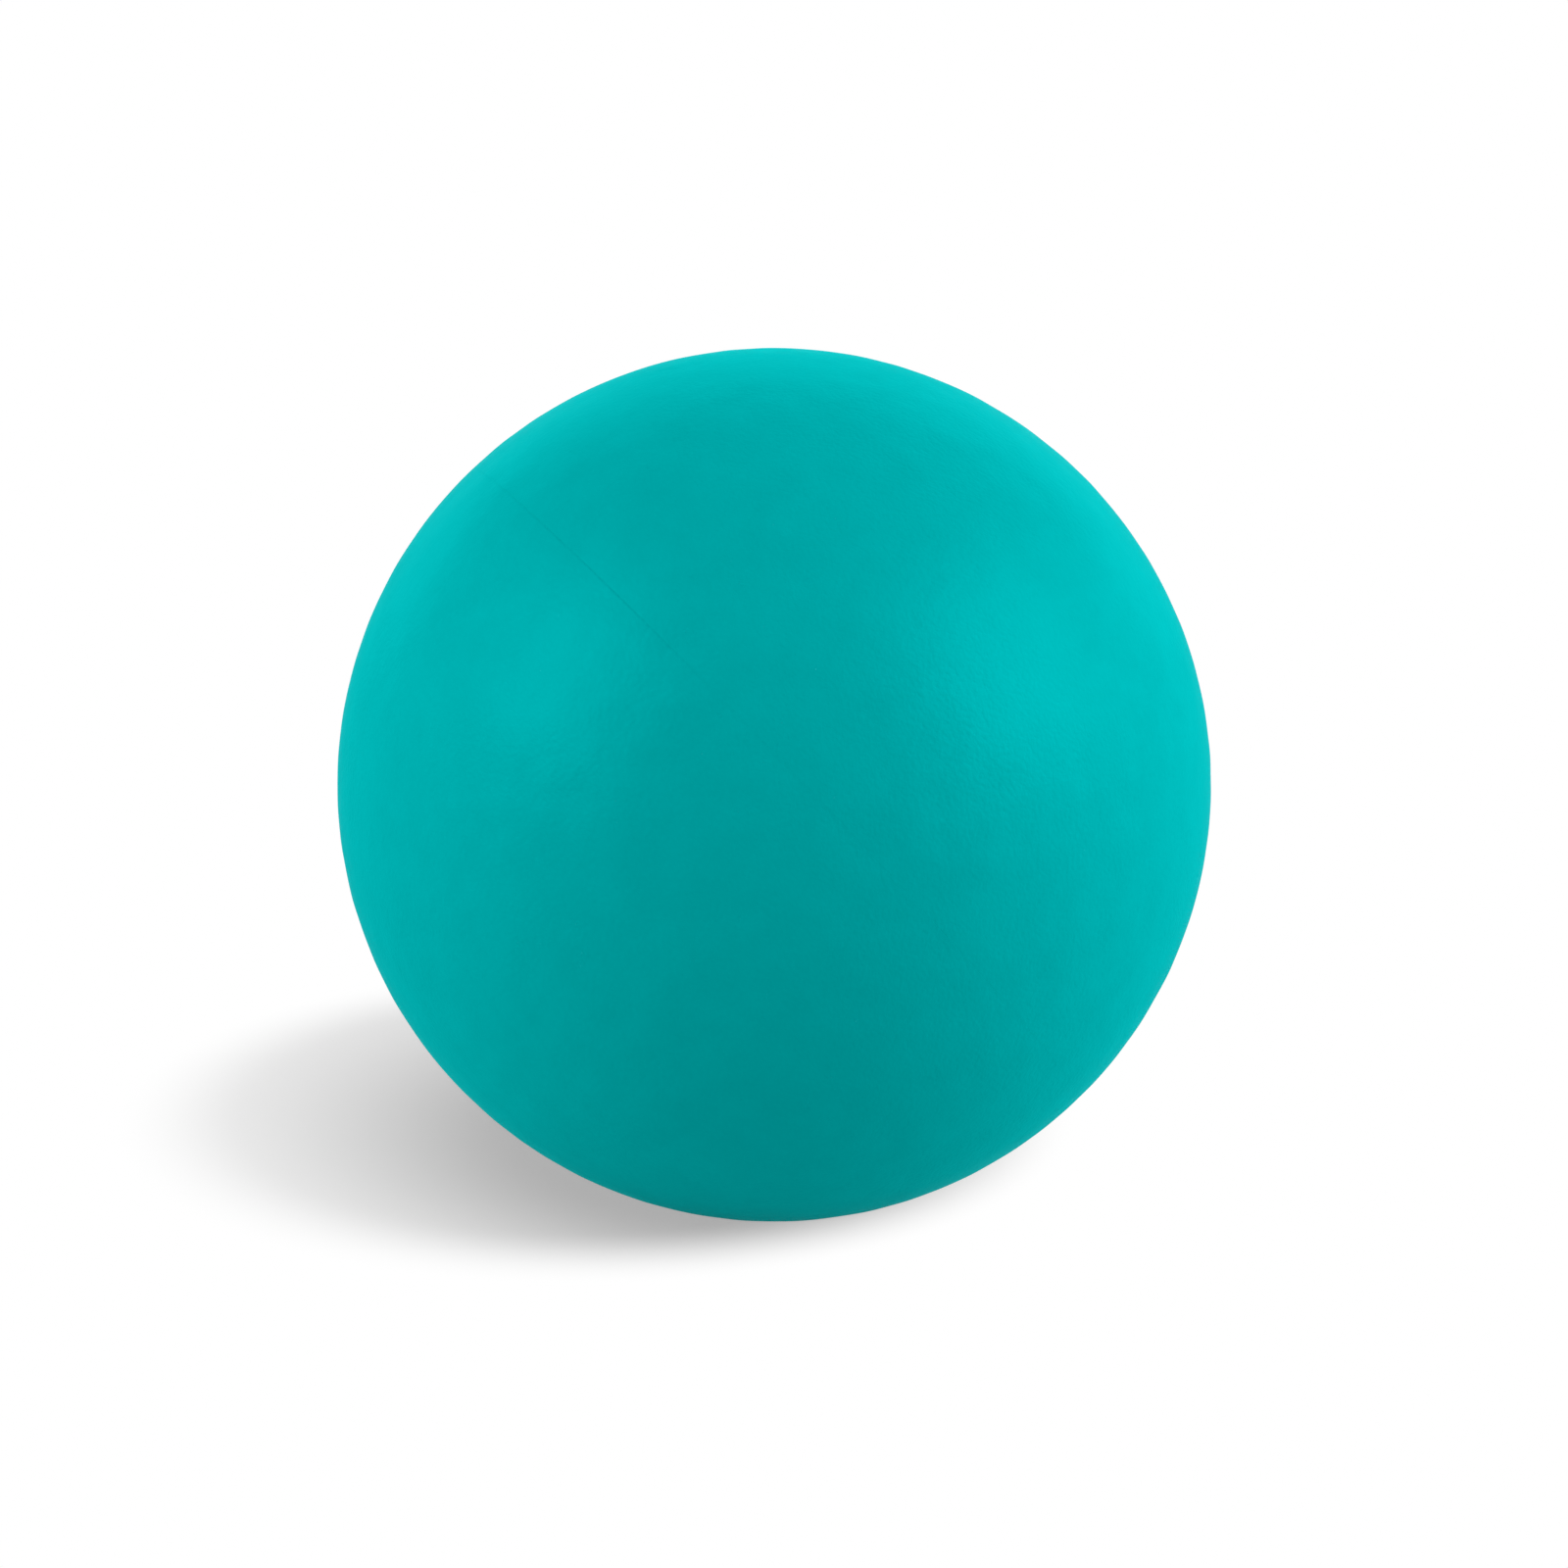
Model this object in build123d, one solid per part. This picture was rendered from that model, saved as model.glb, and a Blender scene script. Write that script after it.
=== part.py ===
from build123d import *

import os
from math import asin, cos, degrees, radians, sin

# Lacrosse ball: a pressed rubber core inside a coloured rubber cover, which is two half shells.
# The halves are bonded to the core over its whole surface, and to each other on the parting plane.
# Sizes are in millimetres. The origin is the ball's centre and +Z is up, with the ball as it lies:
# the parting plane leans, and the hairline seam round it is the only mark on the outside.

# Driving dimensions, in millimetres
BALL_DIAMETER = 63.5  # the rules of the game allow 62.7 to 64.7
COVER_WALL = 6.0  # coloured rubber over the core
SEAM_WIDTH = 0.04  # hairline groove along the parting line, where the halves' edges are broken
SEAM_DEPTH = 0.02  # of that groove, at the parting plane

# How the ball lies, in degrees
SEAM_LEAN = 48.9  # of the parting plane, from level
SEAM_TURN = 17.2  # from +X towards +Y, to the side that the upper half's pole leans to

BALL_RADIUS = BALL_DIAMETER / 2
CORE_RADIUS = BALL_RADIUS - COVER_WALL


def pole_plane(side):
    """Parting plane, facing the pole of the upper half (side 1) or of the lower half (side -1)."""
    lean = radians(SEAM_LEAN)
    turn = radians(SEAM_TURN)
    pole = Vector(sin(lean) * cos(turn), sin(lean) * sin(turn), cos(lean))
    return Plane(origin=(0, 0, 0), z_dir=pole * side)


def core():
    """Solid rubber ball that fills the cover."""
    return pole_plane(1) * Sphere(CORE_RADIUS)


def cover_half(side):
    """Half shell that seats on the core, with a flat rim on the parting plane and half of the seam."""
    seam_angle = degrees(asin(SEAM_WIDTH / 2 / BALL_RADIUS))
    inside = CenterArc((0, 0), CORE_RADIUS, 0, 90)
    outside = CenterArc((0, 0), BALL_RADIUS, seam_angle, 90 - seam_angle)
    seam_root = (BALL_RADIUS - SEAM_DEPTH, 0)
    seam_and_rim = Polyline(outside @ 0, seam_root, inside @ 0)
    wall_at_pole = Line(inside @ 1, outside @ 1)
    section = Plane.XZ * make_face([inside, wall_at_pole, outside, seam_and_rim])
    return pole_plane(side) * revolve(section, Axis.Z)


def main():
    os.makedirs("parts", exist_ok=True)
    export_step(core(), "parts/core.step")
    export_step(cover_half(1), "parts/cover_upper_half.step")
    export_step(cover_half(-1), "parts/cover_lower_half.step")


main()
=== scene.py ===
import math

import bpy
from mathutils import Matrix, Vector, noise


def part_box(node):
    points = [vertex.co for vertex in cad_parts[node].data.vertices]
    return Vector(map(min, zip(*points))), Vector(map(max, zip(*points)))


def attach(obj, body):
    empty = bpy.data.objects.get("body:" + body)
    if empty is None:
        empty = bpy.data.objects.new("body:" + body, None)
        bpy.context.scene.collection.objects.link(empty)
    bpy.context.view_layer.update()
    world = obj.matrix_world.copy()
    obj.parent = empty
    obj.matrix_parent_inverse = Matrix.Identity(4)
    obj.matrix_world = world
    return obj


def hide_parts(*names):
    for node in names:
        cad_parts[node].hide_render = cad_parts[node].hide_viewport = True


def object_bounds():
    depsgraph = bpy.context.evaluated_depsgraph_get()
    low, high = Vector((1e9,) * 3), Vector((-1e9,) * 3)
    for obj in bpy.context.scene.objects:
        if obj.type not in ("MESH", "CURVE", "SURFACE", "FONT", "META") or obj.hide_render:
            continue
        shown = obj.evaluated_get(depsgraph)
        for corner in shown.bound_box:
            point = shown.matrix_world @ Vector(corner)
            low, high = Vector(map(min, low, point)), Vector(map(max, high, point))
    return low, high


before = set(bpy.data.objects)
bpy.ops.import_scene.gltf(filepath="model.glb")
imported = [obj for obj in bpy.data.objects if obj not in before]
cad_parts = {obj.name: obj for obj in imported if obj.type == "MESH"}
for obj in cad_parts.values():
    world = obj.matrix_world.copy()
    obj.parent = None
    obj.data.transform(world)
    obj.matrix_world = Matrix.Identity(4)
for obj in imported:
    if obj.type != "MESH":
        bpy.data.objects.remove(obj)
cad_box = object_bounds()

# A matte teal rubber ball on a white floor. Lengths are in metres, and -Y faces the camera.
MM = 0.001

# Ball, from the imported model
BALL_RADIUS = min(cad_box[1] - cad_box[0]) / 2
CORE_LOW, CORE_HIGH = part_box("core")
CORE_RADIUS = min(CORE_HIGH - CORE_LOW) / 2
COVER_HALVES = (  # piece, the node that it stands for, and its side of the parting plane
    ("cover_upper", "cover_upper_half", 1),
    ("cover_lower", "cover_lower_half", -1),
)

# Seam: a hairline groove along the parting line, larger in some stretches than in others
SEAM_HALF_WIDTH = 0.02 * MM
SEAM_DEPTH = 0.02 * MM
SEAM_RINGS = (3.0, 1.5, 1.0, 0.5, 0.0)  # heights over the parting plane, in half widths of the groove
SEAM_STRETCHES = (  # turn from the seam's highest point in degrees, and the groove's size there
    (0, 0.7), (24, 1.3), (42, 1.3), (54, 0.15), (92, 0.7), (125, 0.1),
    (180, 0.9), (230, 0.4), (290, 1.0), (330, 0.5), (360, 0.7),
)
SEAM_MARGIN = 0.3 * MM  # from the parting plane to the even grid of the cover

# Mesh of a cover half, in cells along each side of the square grids that cover its outside and inside
OUTSIDE_CELLS = 256
INSIDE_CELLS = 64
SHARP_ANGLE = math.radians(30)  # between two faces, from which their edge is shaded sharp

# Orange peel of the moulded rubber: shallow dimples of about that size
PEEL_SIZE = 2.0 * MM
PEEL_HEIGHT = 0.03 * MM
PEEL_SINK = 0.6  # mean depth of the surface under the ball's radius, in peel heights

# Cover rubber, whose gloss and bloom take its own colour: only the thin haze at the very rim is pale
TEAL = (0.0, 0.398, 0.402, 1)
TEAL_DEEP = (0.0, 0.341, 0.346, 1)
# painted shade: darker teal along the parting plane, for the shade of the hairline groove
TEAL_SEAM_PAINTED_SHADE = (0.0, 0.364, 0.369, 1)
CYAN = (0.0, 1.0, 1.0, 1)
COVER_ROUGHNESS = (0.29, 0.43)  # where the clouding is deep, and where it is pale
COVER_GLOSS = 0.08
COVER_BLOOM = 0.22
COVER_BLOOM_ROUGHNESS = 0.35
COVER_HAZE_IOR = 1.005  # low, so that the pale gloss shows at grazing angles alone
SEAM_PAINTED_SHADE_WIDTH = 0.18 * MM  # width of the painted shade each side of the parting plane, standing for the shade in the seam's groove
CLOUD_SIZE = 4 * MM
CLOUD_DETAIL = 5
CLOUD_FINENESS = 0.68  # strength of each finer scale of the clouds, as a share of the one before
GRAIN_SIZE = 0.36 * MM
GRAIN_HEIGHT = 0.031 * MM
GRAIN_DETAIL = 2
GRAIN_FINENESS = 0.5
SPECK_DARK = (0.0, 0.300, 0.303, 1)
SPECK_LIGHT = (0.02, 0.470, 0.475, 1)
SPECK_SPACING = 1.4 * MM
SPECK_RADIUS = 0.07 * MM

# Core rubber, pressed from crumb
CRUMB_DARK = (0.03, 0.03, 0.033, 1)
CRUMB_PALE = (0.16, 0.16, 0.15, 1)
CRUMB_PALE_FROM = 0.9  # a crumb's random value, from 0 to 1, from which it has the pale colour
CRUMB_SIZE = 1.6 * MM
CRUMB_RELIEF = 0.05 * MM
CORE_ROUGHNESS = 0.8

# Floor, which keeps the ball's shadow and fades to plain white round it
FLOOR_HEIGHT = -BALL_RADIUS
FLOOR_REACH = 3.0
FLOOR_COLOUR = (0.80, 0.80, 0.80, 1)
FLOOR_GLOW = 0.353  # seen by the camera on top of the lit floor, so that it is white
SHADOW_CENTRE = (-14.2 * MM, 19.7 * MM)
SHADOW_FADES_FROM = 27.3 * MM
SHADOW_FADES_TO = 38.2 * MM

# Light
WHITE = (1, 1, 1, 1)
WHITE_STRENGTH = 1.0
AMBIENT = 0.15
SOFTBOX_DISTANCE = 0.60
SOFTBOXES = {  # azimuth from the front to the right and elevation in degrees, width, height, and watts
    "softbox_left": (-67, 32, 0.36, 0.40, 1.56),
    "softbox_right": (72, 30, 0.42, 0.44, 1.88),
    "softbox_back_left": (-150, 12, 0.40, 0.20, 0.64),
    "softbox_back_right": (150, 12, 0.40, 0.20, 0.54),
    "softbox_back_high": (180, 32, 0.70, 0.25, 1.05),
}
FILLS = {  # the same, for lamps that don't show in the ball's gloss
    "fill_left": (-65, 10, 0.40, 0.40, 0.90),
    "fill_right": (70, 10, 0.40, 0.40, 1.00),
    "fill_left_side": (-100, 26, 0.40, 0.40, 1.20),
    "fill_right_side": (100, 26, 0.40, 0.40, 1.74),
}
FLOOR_LAMP = (20, 52.5, 2.60)  # azimuth, elevation and strength
FLOOR_LAMP_ANGLE = math.radians(62)
FLOOR_LAMP_DISTANCE = 1.0

# Camera
CAMERA_ELEVATION = 15
CAMERA_LENS = 100
CAMERA_SENSOR = 36
CAMERA_NEAR = 0.01
PHOTO_SIZE = 1600
BALL_PIXEL_CENTRE = (790.0, 800.8)
BALL_PIXEL_RADIUS = 446.0


def pole_of(node):
    """Direction from the ball's centre to the pole of a cover half, which is the middle of its surface."""
    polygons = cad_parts[node].data.polygons
    return sum((polygon.center * polygon.area for polygon in polygons), Vector()).normalized()


POLE = pole_of("cover_upper_half")


def seam_axes():
    """Turns a half ball from its own axes, pole on Z, to how it lies: X goes to the seam's highest point."""
    uphill = (Vector((0, 0, 1)) - POLE * POLE.z).normalized()
    across = POLE.cross(uphill)
    return Matrix((uphill, across, POLE)).transposed().to_4x4()


def disc_point(x, y):
    """Reach and turn on a unit disc of a point of the square from -1 to 1, whose grid fills the disc."""
    if x == 0 and y == 0:
        return 0.0, 0.0
    if abs(x) > abs(y):
        reach = x
        turn = math.pi / 4 * y / x
    else:
        reach = y
        turn = math.pi / 2 - math.pi / 4 * x / y
    if reach < 0:
        return -reach, turn + math.pi
    return reach, turn


def cap_points(radius, edge_angle, cells):
    """Points of a cap of a ball, in rows of the square grid, out to that angle from the pole."""
    points = []
    for row in range(cells + 1):
        for column in range(cells + 1):
            reach, turn = disc_point(2 * column / cells - 1, 2 * row / cells - 1)
            polar = reach * edge_angle
            side = radius * math.sin(polar)
            points.append(Vector((side * math.cos(turn), side * math.sin(turn), radius * math.cos(polar))))
    return points


def cap_faces(first, cells):
    """Square faces of a cap whose points start at that number, facing out."""
    width = cells + 1
    faces = []
    for row in range(cells):
        for column in range(cells):
            corner = first + row * width + column
            faces.append((corner, corner + 1, corner + 1 + width, corner + width))
    return faces


def cap_border(first, cells):
    """Numbers of a cap's outermost points, in turn round the pole."""
    width = cells + 1
    last = cells * width
    border = list(range(0, cells))
    border += [cells + row * width for row in range(cells)]
    border += [last + cells - column for column in range(cells)]
    border += [last - row * width for row in range(cells)]
    return [first + number for number in border]


def seam_size(turn):
    """Size of the groove at that turn, in radians, as a share of its usual one."""
    degrees = math.degrees(turn) % 360
    for (start, first), (end, last) in zip(SEAM_STRETCHES, SEAM_STRETCHES[1:]):
        if degrees <= end:
            share = (degrees - start) / (end - start)
            return first + (last - first) * share * share * (3 - 2 * share)


def seam_point(turn, step):
    """Point of the seam at that turn and so many half widths of the groove over the parting plane."""
    size = seam_size(turn)
    height = step * size * SEAM_HALF_WIDTH
    reach = math.sqrt(BALL_RADIUS ** 2 - height ** 2) - SEAM_DEPTH * size * max(1 - step, 0)
    return Vector((reach * math.cos(turn), reach * math.sin(turn), height))


def peeled(point, side):
    """Point of the outside of that half, sunk into the orange peel, which runs on across the seam."""
    place = Vector((point.x, point.y, point.z * side)) / PEEL_SIZE
    depth = PEEL_HEIGHT * max(PEEL_SINK - noise.noise(place), 0)
    return point * (1 - depth / BALL_RADIUS)


def bridge(outer, inner):
    """Faces that join two rings of points, with as many outer edges to each inner one."""
    count = len(inner)
    ratio = len(outer) // count
    faces = []
    for edge in range(count):
        along = [outer[(edge * ratio + step) % len(outer)] for step in range(ratio, -1, -1)]
        faces.append((*along, inner[edge], inner[(edge + 1) % count]))
    return faces


def outside_of_half(side):
    """Points and faces of a half's outside with its share of the groove, and its last ring of points."""
    cap_edge = math.acos(SEAM_MARGIN / BALL_RADIUS)
    points = cap_points(BALL_RADIUS, cap_edge, OUTSIDE_CELLS)
    faces = cap_faces(0, OUTSIDE_CELLS)
    ring = cap_border(0, OUTSIDE_CELLS)
    turns = [math.atan2(points[number].y, points[number].x) for number in ring]
    for step in SEAM_RINGS:
        following = list(range(len(points), len(points) + len(turns)))
        points += [seam_point(turn, step) for turn in turns]
        faces += bridge(ring, following)
        ring = following
    return [peeled(point, side) for point in points], faces, ring


def half_shell(name, side):
    """Cover half as a closed shell: outside with its share of the seam, flat rim, and inside on the core."""
    points, faces, rim = outside_of_half(side)
    inside = len(points)
    points += cap_points(CORE_RADIUS, math.pi / 2, INSIDE_CELLS)
    faces += [tuple(reversed(face)) for face in cap_faces(inside, INSIDE_CELLS)]
    faces += bridge(rim, cap_border(inside, INSIDE_CELLS))
    if side < 0:
        points = [Vector((point.x, point.y, -point.z)) for point in points]
        faces = [tuple(reversed(face)) for face in faces]
    mesh = bpy.data.meshes.new(name)
    mesh.from_pydata(points, [], faces)
    mesh.transform(seam_axes())
    mesh.polygons.foreach_set("use_smooth", [True] * len(mesh.polygons))
    mesh.set_sharp_from_angle(angle=SHARP_ANGLE)
    mesh.validate()
    half = bpy.data.objects.new(name, mesh)
    bpy.context.scene.collection.objects.link(half)
    return half


def new_material(name):
    """Node material with nothing in it yet, and its tree."""
    material = bpy.data.materials.new(name)
    material.use_nodes = True
    material.node_tree.nodes.clear()
    return material, material.node_tree


def add_node(tree, kind, **inputs):
    """Node of that kind, with its input sockets set by name (underscores for spaces)."""
    node = tree.nodes.new(kind)
    for key, value in inputs.items():
        node.inputs[key.replace("_", " ")].default_value = value
    return node


def rubber_material(name, **inputs):
    """Material of one shader, whose even values are set by name, with its tree and that shader."""
    material, tree = new_material(name)
    output = add_node(tree, "ShaderNodeOutputMaterial")
    shader = add_node(tree, "ShaderNodeBsdfPrincipled", **inputs)
    tree.links.new(shader.outputs["BSDF"], output.inputs["Surface"])
    return material, tree, shader


def object_place(tree):
    """Place on the object, in metres."""
    return add_node(tree, "ShaderNodeTexCoord").outputs["Object"]


def noise_texture(tree, place, feature, detail, fineness):
    """Noise whose features are about that size, in metres, as its factor socket."""
    node = add_node(tree, "ShaderNodeTexNoise", Scale=1 / feature, Detail=detail, Roughness=fineness)
    tree.links.new(place, node.inputs["Vector"])
    return node.outputs["Fac"]


def cell_texture(tree, place, size):
    """Texture of scattered cells of about that size, in metres."""
    node = add_node(tree, "ShaderNodeTexVoronoi", Scale=1 / size)
    tree.links.new(place, node.inputs["Vector"])
    return node


def spread(tree, value, low, high):
    """Stretches a 0 to 1 value to the range low to high."""
    node = add_node(tree, "ShaderNodeMapRange", To_Min=low, To_Max=high)
    tree.links.new(value, node.inputs["Value"])
    return node.outputs["Result"]


def fade_out(tree, distance, reach):
    """1 where the distance is 0, easing to 0 at that reach and staying there."""
    node = add_node(tree, "ShaderNodeMapRange", From_Max=reach, To_Min=1.0, To_Max=0.0)
    node.interpolation_type = "SMOOTHSTEP"
    tree.links.new(distance, node.inputs["Value"])
    return node.outputs["Result"]


def mix_colours(tree, factor, first, second):
    """Mix of two colours, each a value or a socket, as its colour socket."""
    node = tree.nodes.new("ShaderNodeMix")
    node.data_type = "RGBA"
    tree.links.new(factor, node.inputs["Factor"])
    for name, colour in (("A", first), ("B", second)):
        if isinstance(colour, tuple):
            node.inputs[name].default_value = colour
        else:
            tree.links.new(colour, node.inputs[name])
    return node.outputs["Result"]


def add_relief(tree, shader, height, depth):
    """Gives the shader a fine relief of that depth, in metres, from a 0 to 1 height."""
    bump = add_node(tree, "ShaderNodeBump", Distance=depth)
    tree.links.new(height, bump.inputs["Height"])
    tree.links.new(bump.outputs["Normal"], shader.inputs["Normal"])


def painted_seam_shade(tree, place):
    """Mask of the painted shade along the seam's groove: 1 on the parting plane, and 0 from its width on."""
    height = tree.nodes.new("ShaderNodeVectorMath")
    height.operation = "DOT_PRODUCT"
    height.inputs[1].default_value = POLE
    tree.links.new(place, height.inputs[0])
    distance = tree.nodes.new("ShaderNodeMath")
    distance.operation = "ABSOLUTE"
    tree.links.new(height.outputs["Value"], distance.inputs[0])
    return fade_out(tree, distance.outputs[0], SEAM_PAINTED_SHADE_WIDTH)


def specks(tree, place):
    """Sparse specks: a mask that is 1 on each, and their colour, light on some and dark on others."""
    cells = cell_texture(tree, place, SPECK_SPACING)
    mask = fade_out(tree, cells.outputs["Distance"], SPECK_RADIUS / SPECK_SPACING)
    kind = tree.nodes.new("ShaderNodeSeparateColor")
    tree.links.new(cells.outputs["Color"], kind.inputs["Color"])
    return mask, mix_colours(tree, kind.outputs["Red"], SPECK_DARK, SPECK_LIGHT)


def cover_rubber():
    """Matte teal rubber: faint clouding, specks, painted shade along the seam, a fine moulded grain and a
    soft, tinted gloss.
    """
    material, tree, shader = rubber_material(
        "teal_rubber",
        Metallic=COVER_GLOSS,
        Specular_Tint=CYAN,
        IOR=COVER_HAZE_IOR,
        Sheen_Weight=COVER_BLOOM,
        Sheen_Roughness=COVER_BLOOM_ROUGHNESS,
        Sheen_Tint=CYAN,
    )
    place = object_place(tree)
    clouds = noise_texture(tree, place, CLOUD_SIZE, CLOUD_DETAIL, CLOUD_FINENESS)
    colour = mix_colours(tree, clouds, TEAL_DEEP, TEAL)
    # painted shade along the seam's groove, darkest on the parting plane
    colour = mix_colours(tree, painted_seam_shade(tree, place), colour, TEAL_SEAM_PAINTED_SHADE)
    speck_mask, speck_colour = specks(tree, place)
    colour = mix_colours(tree, speck_mask, colour, speck_colour)
    tree.links.new(colour, shader.inputs["Base Color"])
    tree.links.new(spread(tree, clouds, *COVER_ROUGHNESS), shader.inputs["Roughness"])
    grain = noise_texture(tree, place, GRAIN_SIZE, GRAIN_DETAIL, GRAIN_FINENESS)
    add_relief(tree, shader, grain, GRAIN_HEIGHT)
    return material


def core_rubber():
    """Dark pressed rubber with pale flecks of the crumb that it is made of."""
    material, tree, shader = rubber_material("crumb_rubber", Roughness=CORE_ROUGHNESS)
    crumbs = cell_texture(tree, object_place(tree), CRUMB_SIZE)
    ramp = tree.nodes.new("ShaderNodeValToRGB")
    dark, pale = ramp.color_ramp.elements
    dark.color = CRUMB_DARK
    pale.position = CRUMB_PALE_FROM
    pale.color = CRUMB_PALE
    tree.links.new(crumbs.outputs["Color"], ramp.inputs["Fac"])
    tree.links.new(ramp.outputs["Color"], shader.inputs["Base Color"])
    add_relief(tree, shader, crumbs.outputs["Distance"], CRUMB_RELIEF)
    return material


def make_pieces():
    """Dresses the ball: two modelled cover halves over the core."""
    rubber = cover_rubber()
    halves = []
    for name, node, side in COVER_HALVES:
        half = half_shell(name, side)
        half.data.materials.append(rubber)
        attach(half, "root")
        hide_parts(node)
        half.visible_diffuse = False  # keeps the shadow on the floor a plain grey
        halves.append(half)
    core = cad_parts["core"]
    core.data.materials.clear()
    core.data.materials.append(core_rubber())
    return halves


def direction(azimuth, elevation):
    """Unit vector to that azimuth, from the front towards the right, and elevation, in degrees."""
    around = math.radians(azimuth)
    upwards = math.radians(elevation)
    level = math.cos(upwards)
    return Vector((math.sin(around) * level, -math.cos(around) * level, math.sin(upwards)))


def seen_directly(tree):
    """1 for rays that show the background as it is: from the camera, in a reflection or through glass."""
    path = add_node(tree, "ShaderNodeLightPath")
    value = path.outputs["Is Camera Ray"]
    for name in ("Is Glossy Ray", "Is Transmission Ray"):
        larger = tree.nodes.new("ShaderNodeMath")
        larger.operation = "MAXIMUM"
        tree.links.new(value, larger.inputs[0])
        tree.links.new(path.outputs[name], larger.inputs[1])
        value = larger.outputs[0]
    return value


def mix_shaders(tree, factor, first, second):
    """Mix of two shaders, from the first at 0 to the second at 1."""
    node = tree.nodes.new("ShaderNodeMixShader")
    tree.links.new(factor, node.inputs[0])
    tree.links.new(first.outputs[0], node.inputs[1])
    tree.links.new(second.outputs[0], node.inputs[2])
    return node


def outside_shadow(tree):
    """0 round the shadow's centre, easing to 1 where the floor is plain white."""
    reach = tree.nodes.new("ShaderNodeVectorMath")
    reach.operation = "LENGTH"
    tree.links.new(object_place(tree), reach.inputs[0])
    fade = add_node(tree, "ShaderNodeMapRange", From_Min=SHADOW_FADES_FROM, From_Max=SHADOW_FADES_TO)
    fade.interpolation_type = "SMOOTHSTEP"
    tree.links.new(reach.outputs["Value"], fade.inputs["Value"])
    return fade.outputs["Result"]


def floor_white():
    """Pale floor that keeps the ball's shadow, and is plain white further out."""
    material, tree = new_material("floor_white")
    output = add_node(tree, "ShaderNodeOutputMaterial")
    matt = add_node(tree, "ShaderNodeBsdfDiffuse", Color=FLOOR_COLOUR)
    glow = add_node(tree, "ShaderNodeEmission", Strength=FLOOR_GLOW)
    white = add_node(tree, "ShaderNodeEmission", Strength=WHITE_STRENGTH)
    lit = tree.nodes.new("ShaderNodeAddShader")
    tree.links.new(matt.outputs[0], lit.inputs[0])
    tree.links.new(glow.outputs[0], lit.inputs[1])
    shown = mix_shaders(tree, outside_shadow(tree), lit, white)
    both = mix_shaders(tree, seen_directly(tree), matt, shown)
    tree.links.new(both.outputs[0], output.inputs["Surface"])
    return material


def make_floor():
    """Square floor under the ball, centred on the ball's shadow."""
    mesh = bpy.data.meshes.new("floor")
    corners = [(x * FLOOR_REACH, y * FLOOR_REACH, 0) for x, y in ((-1, -1), (1, -1), (1, 1), (-1, 1))]
    mesh.from_pydata(corners, [], [(0, 1, 2, 3)])
    mesh.materials.append(floor_white())
    floor = bpy.data.objects.new("floor", mesh)
    floor.location = (*SHADOW_CENTRE, FLOOR_HEIGHT)
    bpy.context.scene.collection.objects.link(floor)
    return floor


def lights_only(lamp, name, receivers):
    """Lets a lamp light only those objects. Everything still casts a shadow from it."""
    chosen = bpy.data.collections.new(name)
    for receiver in receivers:
        chosen.objects.link(receiver)
    lamp.light_linking.receiver_collection = chosen


def add_lamp(name, kind, towards, distance):
    """Lamp in that direction from the ball's centre, facing it."""
    data = bpy.data.lights.new(name, kind)
    lamp = bpy.data.objects.new(name, data)
    lamp.location = towards * distance
    lamp.rotation_euler = towards.to_track_quat("Z", "Y").to_euler()
    bpy.context.scene.collection.objects.link(lamp)
    return lamp


def make_lights(floor, halves):
    """Softboxes and fills that light the ball alone, and a wide sun that lights the floor alone."""
    for name, (azimuth, elevation, width, height, power) in (SOFTBOXES | FILLS).items():
        lamp = add_lamp(name, "AREA", direction(azimuth, elevation), SOFTBOX_DISTANCE)
        lamp.data.shape = "RECTANGLE"
        lamp.data.size = width
        lamp.data.size_y = height
        lamp.data.energy = power
        lamp.visible_glossy = name in SOFTBOXES
        lights_only(lamp, name + "_lights", halves)
    azimuth, elevation, strength = FLOOR_LAMP
    lamp = add_lamp("floor_lamp", "SUN", direction(azimuth, elevation), FLOOR_LAMP_DISTANCE)
    lamp.data.angle = FLOOR_LAMP_ANGLE
    lamp.data.energy = strength
    lights_only(lamp, "floor_lamp_lights", [floor])


def make_world():
    """Faint even light from all round, with a plain white background in view."""
    world = bpy.data.worlds.new("studio")
    bpy.context.scene.world = world
    world.use_nodes = True
    tree = world.node_tree
    tree.nodes.clear()
    output = add_node(tree, "ShaderNodeOutputWorld")
    ambient = add_node(tree, "ShaderNodeBackground", Color=WHITE, Strength=AMBIENT)
    white = add_node(tree, "ShaderNodeBackground", Color=WHITE, Strength=WHITE_STRENGTH)
    both = mix_shaders(tree, seen_directly(tree), ambient, white)
    tree.links.new(both.outputs[0], output.inputs["Surface"])


def make_camera():
    """Camera at the photograph's angle, with the ball as large and in the same place in the frame."""
    data = bpy.data.cameras.new("camera")
    data.lens = CAMERA_LENS
    data.sensor_width = CAMERA_SENSOR
    pixel_focal = CAMERA_LENS / CAMERA_SENSOR * PHOTO_SIZE
    distance = BALL_RADIUS / math.sin(math.atan(BALL_PIXEL_RADIUS / pixel_focal))
    data.shift_x = (PHOTO_SIZE / 2 - BALL_PIXEL_CENTRE[0]) / PHOTO_SIZE
    data.shift_y = (BALL_PIXEL_CENTRE[1] - PHOTO_SIZE / 2) / PHOTO_SIZE
    data.clip_start = CAMERA_NEAR
    camera = bpy.data.objects.new("camera", data)
    towards = direction(0, CAMERA_ELEVATION)
    camera.location = towards * distance
    camera.rotation_euler = towards.to_track_quat("Z", "Y").to_euler()
    bpy.context.scene.collection.objects.link(camera)
    bpy.context.scene.camera = camera


def main():
    """Makes the scene: camera, ball, floor, lights and world."""
    bpy.context.scene.view_settings.view_transform = "Standard"
    make_camera()
    halves = make_pieces()
    floor = make_floor()
    make_lights(floor, halves)
    make_world()


main()
